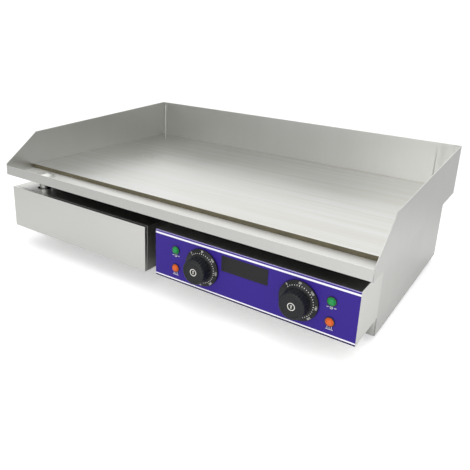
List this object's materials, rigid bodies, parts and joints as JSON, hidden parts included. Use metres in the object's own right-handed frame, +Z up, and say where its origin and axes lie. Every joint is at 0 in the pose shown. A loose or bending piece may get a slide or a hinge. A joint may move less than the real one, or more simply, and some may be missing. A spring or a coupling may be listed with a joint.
{
  "type": "electric flat top griddle",
  "caption": "Countertop electric flat top griddle with a steel plate, splash walls, front grease trough, pull-out drawer and control panel with two thermostat knobs.",
  "frame": {"origin": "floor level under the middle of the bounding box", "axes": "+X across the front to the operator's right, +Y from front to rear, +Z up"},
  "size_m": [0.73, 0.4994, 0.233],
  "materials": {
    "stainless": "brushed stainless sheet",
    "plate_steel": "ground steel plate, lightly oiled",
    "galvanised": "galvanised sheet",
    "zinc_hardware": "bright zinc",
    "element_sheath": "heat-tinted steel sheath",
    "copper": "drawn copper",
    "brass": "turned brass",
    "rubber": "moulded rubber",
    "black_knob": "moulded phenolic",
    "black_enamel": "black stove enamel on sheet",
    "black_moulding": "moulded nylon",
    "purple_film": "printed film",
    "badge_black": "blank badge",
    "green_lens": "translucent lens",
    "orange_lens": "translucent lens",
    "ceramic_wool": "fibre blanket",
    "white_ceramic": "glazed ceramic",
    "loom_sleeve": "braided sleeve"
  },
  "bodies": {
    "root": {"base_plate": "galvanised", "blank_badge": "badge_black", "bonding_nuts": "brass", "bonding_stud": "zinc_hardware", "box_screws": "zinc_hardware", "clamp_bars": "galvanised", "clamp_nuts": "zinc_hardware", "control_box": "stainless", "control_overlay": "purple_film", "drain_spout": "stainless", "drawer_hood": "stainless", "drawer_liner": "galvanised", "element_insulators": "white_ceramic", "element_pins": "brass", "foot_nuts": "zinc_hardware", "foot_studs": "zinc_hardware", "front_bulkhead": "black_enamel", "gland_body": "black_moulding", "gland_cap": "black_moulding", "gland_locknut": "black_moulding", "grease_trough": "stainless", "griddle_plate": "plate_steel", "heat_shield": "galvanised", "insulation_blanket": "ceramic_wool", "lamp_barrels": "black_moulding", "lamp_clips": "zinc_hardware", "left_capillary": "copper", "left_element": "element_sheath", "left_heat_lens": "orange_lens", "left_power_lens": "green_lens", "left_thermostat": "black_moulding", "plate_studs": "zinc_hardware", "rear_panel": "stainless", "rear_screws": "zinc_hardware", "right_capillary": "copper", "right_element": "element_sheath", "right_heat_lens": "orange_lens", "right_power_lens": "green_lens", "right_thermostat": "black_moulding", "rubber_feet": "rubber", "runner_left": "galvanised", "runner_right": "galvanised", "sensing_bulbs": "copper", "shield_nuts": "zinc_hardware", "side_panel_left": "stainless", "side_panel_right": "stainless", "splash_back": "stainless", "splash_left": "stainless", "splash_right": "stainless", "terminal_block": "white_ceramic", "terminal_screws": "brass", "thermostat_brackets": "galvanised", "thermostat_screws": "zinc_hardware", "wiring_loom": "loom_sleeve"},
    "grease_drawer": {"drawer_front": "stainless", "drawer_tray": "stainless"},
    "left_dial": {"left_knob": "black_knob", "left_shaft": "zinc_hardware"},
    "right_dial": {"right_knob": "black_knob", "right_shaft": "zinc_hardware"}
  },
  "joints": [
    {"name": "drawer_slide", "type": "slide", "parent": "root", "child": "grease_drawer", "axis": [0, -1, 0], "range_m": [0, 0.22]},
    {"name": "left_knob_turn", "type": "hinge", "parent": "root", "child": "left_dial", "pos_m": [0.1045, -0.2273, 0.081], "axis": [0, 1, 0], "range_deg": [0, 270]},
    {"name": "right_knob_turn", "type": "hinge", "parent": "root", "child": "right_dial", "pos_m": [0.2673, -0.2273, 0.081], "axis": [0, 1, 0], "range_deg": [0, 270]}
  ]
}
